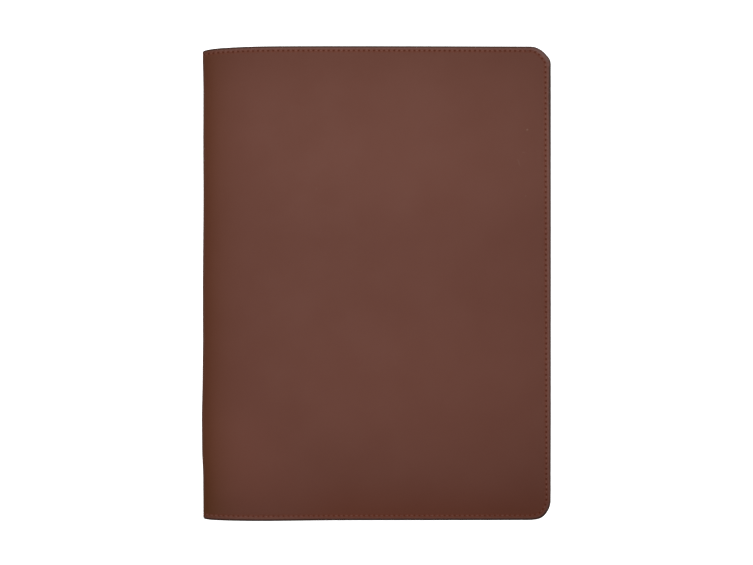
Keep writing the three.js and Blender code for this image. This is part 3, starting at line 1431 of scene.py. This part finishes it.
@dataclass(frozen=True)
class ThreadFinish:
    """Waxed thread, dyed like the leather, with its twist and painted shade in the furrows between its plies.
    """

    name: str
    colour: Colour = (0.186, 0.052, 0.029, 1.0)
    # Painted shade in the furrows between the plies.
    furrow_shade_colour: Colour = (0.125, 0.037, 0.02, 1.0)
    roughness: float = 0.6
    turns_per_mm: float = 1.1
    ply_rim: tuple[float, float] = (-0.9, 0.6)
    twist_depth: float = 0.00005

    def make(self) -> bpy.types.Material:
        """Builds the material: bands that wind round each stitch, with painted shade in the furrows between
        them.
        """
        bench = MaterialBench(self.name)
        parts = bench.add("SeparateXYZ", {0: bench.flat_place()})
        along = bench.math("MULTIPLY", parts.outputs["X"], self.turns_per_mm)
        wound = bench.math("ADD", along, parts.outputs["Y"])
        wave = bench.math("SINE", bench.math("MULTIPLY", wound, 2 * math.pi))
        ply = bench.step(wave, *self.ply_rim)
        normal = bench.add("Bump", {"Height": ply, "Distance": self.twist_depth})
        return bench.finish(
            {
                "Base Color": bench.mix(ply, self.furrow_shade_colour, self.colour),
                "Roughness": self.roughness,
                "Normal": normal.outputs[0],
            }
        )


@dataclass
class DocumentCase:
    """The whole case: its cover, its two pockets and its stitches."""

    sizes: CaseSizes = field(default_factory=CaseSizes)

    def __post_init__(self) -> None:
        """Draws the fold and the seam that all the pieces share."""
        self.fold = Fold(self.sizes)
        self.seam = Seam(self.fold)

    @staticmethod
    def _dress(piece: bpy.types.Object, slot: str, *materials: bpy.types.Material) -> None:
        """Gives a piece its materials and its body, and reports it."""
        for material in materials:
            piece.data.materials.append(material)
        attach(piece, "root")
        log.info("%s: %d faces", piece.name, len(piece.data.polygons))

    def make_cover(self, finish: bpy.types.Material, flesh: bpy.types.Material) -> bpy.types.Object:
        """Makes the cover that wraps the front, the spine and the back."""
        cover = LeatherSheet(
            name="leather_cover",
            seam=self.seam,
            start=0.0,
            end=self.fold.girth,
            finished_depth=0.0,
            plain_depth=self.sizes.cover_leather,
            facing=Facing.OUT,
            parts_per_stitch=6,
            ring_steps=(0.05, 0.13, 0.2, 0.24, 0.3, 0.5, 0.5, 0.5, 0.38, 0.3, 0.3, 0.34, 0.5, 0.8, 1.5),
            plain_ring_steps=(0.8, 4.0),
            columns=200,
            rows=64,
            spine_crowding=2.4,
            holes=True,
        ).build()
        self._dress(cover, "cover_leather", finish, flesh)
        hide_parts("cover")
        return cover

    def make_pocket(
        self, name: str, node: str, finish: bpy.types.Material, flesh: bpy.types.Material
    ) -> bpy.types.Object:
        """Makes one pocket, sewn flush with the cover's edge.

        Args:
            name: The piece's name.
            node: The solid that it stands for.
            finish: The leather's grain face.
            flesh: The leather's inner side.

        Returns:
            The pocket.
        """
        sizes = self.sizes
        at_front = node == "front_pocket"
        girth = self.fold.girth
        outer = sizes.cover_leather + sizes.glue_line
        pocket = LeatherSheet(
            name=name,
            seam=self.seam,
            start=0.0 if at_front else girth - sizes.pocket_width,
            end=sizes.pocket_width if at_front else girth,
            finished_depth=outer + sizes.pocket_leather,
            plain_depth=outer,
            facing=Facing.IN,
            parts_per_stitch=2,
            ring_steps=(0.08, 0.24, 0.48, 1.0, 0.9, 0.5, 0.5, 0.9, 1.6),
            plain_ring_steps=(0.8, 4.0),
            columns=120,
            rows=72,
        ).build()
        self._dress(pocket, "pocket_leather", finish, flesh)
        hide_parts(node)
        return pocket

    def make_thread(
        self, name: str, facing: Facing, slot: str, finish: bpy.types.Material
    ) -> bpy.types.Object:
        """Lays the stitches that show on one side."""
        thread = SeamThread(name=name, seam=self.seam, facing=facing).build()
        self._dress(thread, slot, finish)
        return thread


@dataclass(frozen=True)
class SkyBand:
    """The studio's brightness at one height, from 0 at the horizon to 1 overhead."""

    up: float
    glow: float


@dataclass(frozen=True)
class Lamp:
    """A soft lamp over the case. Its pool of light fades out over its reach across and up the case."""

    name: str
    place: tuple[float, float, float]
    aim: tuple[float, float]
    reach: tuple[float, float]
    power: float
    softness: float = 0.02
    colour: tuple[float, float, float] = (1.0, 1.0, 1.0)


@dataclass
class Studio:
    """A white table under soft light, and a camera that looks straight down on it."""

    camera_height: float = 0.75
    camera_side: float = 0.00061
    camera_up: float = 0.00068
    lens: float = 53.33
    lamps: tuple[Lamp, ...] = (
        Lamp(
            name="key",
            place=(-0.034, 0.024, 0.9),
            aim=(-0.034, 0.024),
            reach=(0.48, 0.42),
            softness=0.15,
            power=25.4,
        ),
        Lamp(
            name="head_band",
            place=(0.03, 0.112, 0.9),
            aim=(0.03, 0.112),
            reach=(0.25, 0.085),
            power=5.0,
            colour=(0.84, 1.0, 1.03),
        ),
        Lamp(
            name="middle_band",
            place=(0.06, -0.07, 0.9),
            aim=(0.06, -0.07),
            reach=(0.2, 0.06),
            power=1.2,
        ),
        Lamp(
            name="tail_pool",
            place=(-0.03, -0.22, 0.85),
            aim=(-0.093, -0.116),
            reach=(0.036, 0.05),
            power=3.6,
        ),
    )
    dim_spine_side: float = 0.25
    dim_tail_side: float = 0.35
    dim_by: float = -0.6
    backdrop: float = 2.0
    table_size: float = 6.0
    table_drop: float = 0.0002
    table_colour: Colour = (0.88, 0.88, 0.88, 1.0)
    table_roughness: float = 0.8
    table_glow: float = 1.0
    sky: tuple[SkyBand, ...] = (
        SkyBand(up=0.0, glow=0.5),
        SkyBand(up=0.3, glow=0.4),
        SkyBand(up=0.8, glow=0.36),
        SkyBand(up=1.0, glow=0.5),
    )

    def build(self, crest: float) -> None:
        """Sets up the table, the lights and the camera.

        Args:
            crest: The height of the case's top, in metres.
        """
        self._lay_table()
        for lamp in self.lamps:
            self._hang(lamp)
        self._wrap_sky()
        self._set_camera(crest)
        bpy.context.scene.view_settings.view_transform = "Standard"

    def _lay_table(self) -> None:
        """Lays the table just under the case. It looks pure white, and lights the case less than that."""
        bpy.ops.object.select_all(action="DESELECT")
        bpy.ops.mesh.primitive_plane_add(size=self.table_size, location=(0.0, 0.0, -self.table_drop))
        table = bpy.context.object
        table.name = "table_top"
        bench = MaterialBench("table_white")
        seen = bench.add("LightPath").outputs["Is Camera Ray"]
        white = bench.finish(
            {
                "Base Color": self.table_colour,
                "Roughness": self.table_roughness,
                "Emission Color": (1.0, 1.0, 1.0, 1.0),
                "Emission Strength": bench.math("MULTIPLY", seen, self.table_glow),
            }
        )
        table.data.materials.append(white)

    @staticmethod
    def _hang(lamp: Lamp) -> None:
        """Hangs one lamp and turns it to where it is aimed."""
        across, up = lamp.reach
        way = Vector((*lamp.aim, 0.0)) - Vector(lamp.place)
        turned = way.to_track_quat("-Z", "Y").to_euler()
        bpy.ops.object.light_add(type="SPOT", location=lamp.place, rotation=turned)
        light = bpy.context.object
        light.name = f"{lamp.name}_light"
        light.data.spot_size = 2 * math.atan(up / way.length)
        light.data.spot_blend = 1.0
        light.data.shadow_soft_size = lamp.softness
        light.data.energy = lamp.power
        light.data.color = lamp.colour
        light.scale = (across / up, 1.0, 1.0)
        light.visible_camera = False

    def _wrap_sky(self) -> None:
        """Surrounds the table with a soft, pale room."""
        world = bpy.data.worlds.new("studio_room")
        world.use_nodes = True
        bpy.context.scene.world = world
        bench = NodeBench(world.node_tree)
        way = bench.add("SeparateXYZ", {0: bench.add("TexCoord").outputs["Generated"]})
        across, along, up = way.outputs
        ramp = bench.add("ValToRGB", {"Fac": up})
        stops = ramp.color_ramp.elements
        while len(stops) < len(self.sky):
            stops.new(0.5)
        for stop, band in zip(stops, self.sky):
            stop.position = band.up
            stop.color = (band.glow, band.glow, band.glow, 1.0)
        spine_side = self._dim(bench, across, self.dim_spine_side)
        tail_side = self._dim(bench, along, self.dim_tail_side)
        strength = bench.math("MULTIPLY", spine_side, tail_side)
        seen = bench.math("MULTIPLY", bench.add("LightPath").outputs["Is Camera Ray"], self.backdrop)
        background = world.node_tree.nodes["Background"]
        world.node_tree.links.new(ramp.outputs[0], background.inputs["Color"])
        world.node_tree.links.new(bench.math("MAXIMUM", strength, seen), background.inputs["Strength"])

    def _dim(self, bench: NodeBench, way: bpy.types.NodeSocket, dimmest: float) -> bpy.types.NodeSocket:
        """Dims the room towards the negative side of one direction."""
        inputs = {"Value": way, "From Min": self.dim_by, "From Max": 0.0, "To Min": dimmest}
        return bench.add("MapRange", inputs).outputs[0]

    def _set_camera(self, crest: float) -> None:
        """Puts the camera straight over the case."""
        place = (self.camera_side, self.camera_up, crest + self.camera_height)
        bpy.ops.object.camera_add(location=place, rotation=(0.0, 0.0, 0.0))
        camera = bpy.context.object
        camera.data.lens = self.lens
        camera.data.sensor_width = 36.0
        camera.data.clip_start = 0.01
        bpy.context.scene.camera = camera


FRONT_MARKS = (
    Mark(from_fore=16.1, up=103.6, length=2.2, width=1.8, turn=20.0, strength=1.0),
    Mark(from_fore=17.6, up=101.4, length=1.6, width=1.0, turn=35.0, strength=-0.35),
    Mark(from_fore=18.6, up=88.4, length=3.2, width=1.0, turn=0.0, strength=0.3),
    Mark(from_fore=21.8, up=81.6, length=7.5, width=1.0, turn=-70.0, strength=0.45),
    Mark(from_fore=17.2, up=59.0, length=2.0, width=1.1, turn=40.0, strength=0.45),
    Mark(from_fore=158.0, up=63.5, length=2.2, width=1.2, turn=15.0, strength=0.2),
    Mark(from_fore=69.8, up=62.0, length=1.8, width=0.8, turn=60.0, strength=0.2),
    Mark(from_fore=143.5, up=-71.5, length=11.0, width=0.5, turn=4.0, strength=0.16),
    Mark(from_fore=107.0, up=-91.5, length=9.0, width=0.5, turn=-6.0, strength=0.16),
    Mark(from_fore=136.7, up=-107.0, length=8.0, width=0.5, turn=3.0, strength=0.14),
    Mark(from_fore=68.0, up=-144.0, length=1.0, width=0.8, turn=0.0, strength=-0.35),
)


def main() -> None:
    """Builds the case, then the studio round it."""
    logging.basicConfig(level=logging.INFO, format="%(name)s %(message)s")
    case = DocumentCase()
    effects = Effects()
    cover_finish = HideFinish(name="cover_leather", marks=FRONT_MARKS).make(effects)
    pocket_finish = HideFinish(
        name="pocket_leather",
        colour=(0.1, 0.033, 0.017, 1.0),
        deep_colour=(0.078, 0.024, 0.0115, 1.0),
        roughness=0.58,
    ).make(effects)
    flesh = FleshFinish(name="flesh_side").make(effects)
    thread_finish = ThreadFinish(name="waxed_thread").make()
    case.make_cover(cover_finish, flesh)
    case.make_pocket("front_pocket_panel", "front_pocket", pocket_finish, flesh)
    case.make_pocket("back_pocket_panel", "back_pocket", pocket_finish, flesh)
    case.make_thread("outer_stitches", Facing.OUT, "cover_leather", thread_finish)
    case.make_thread("inner_stitches", Facing.IN, "pocket_leather", thread_finish)
    Studio().build(crest=cad_box[1].z)


if __name__ == "__main__":
    main()
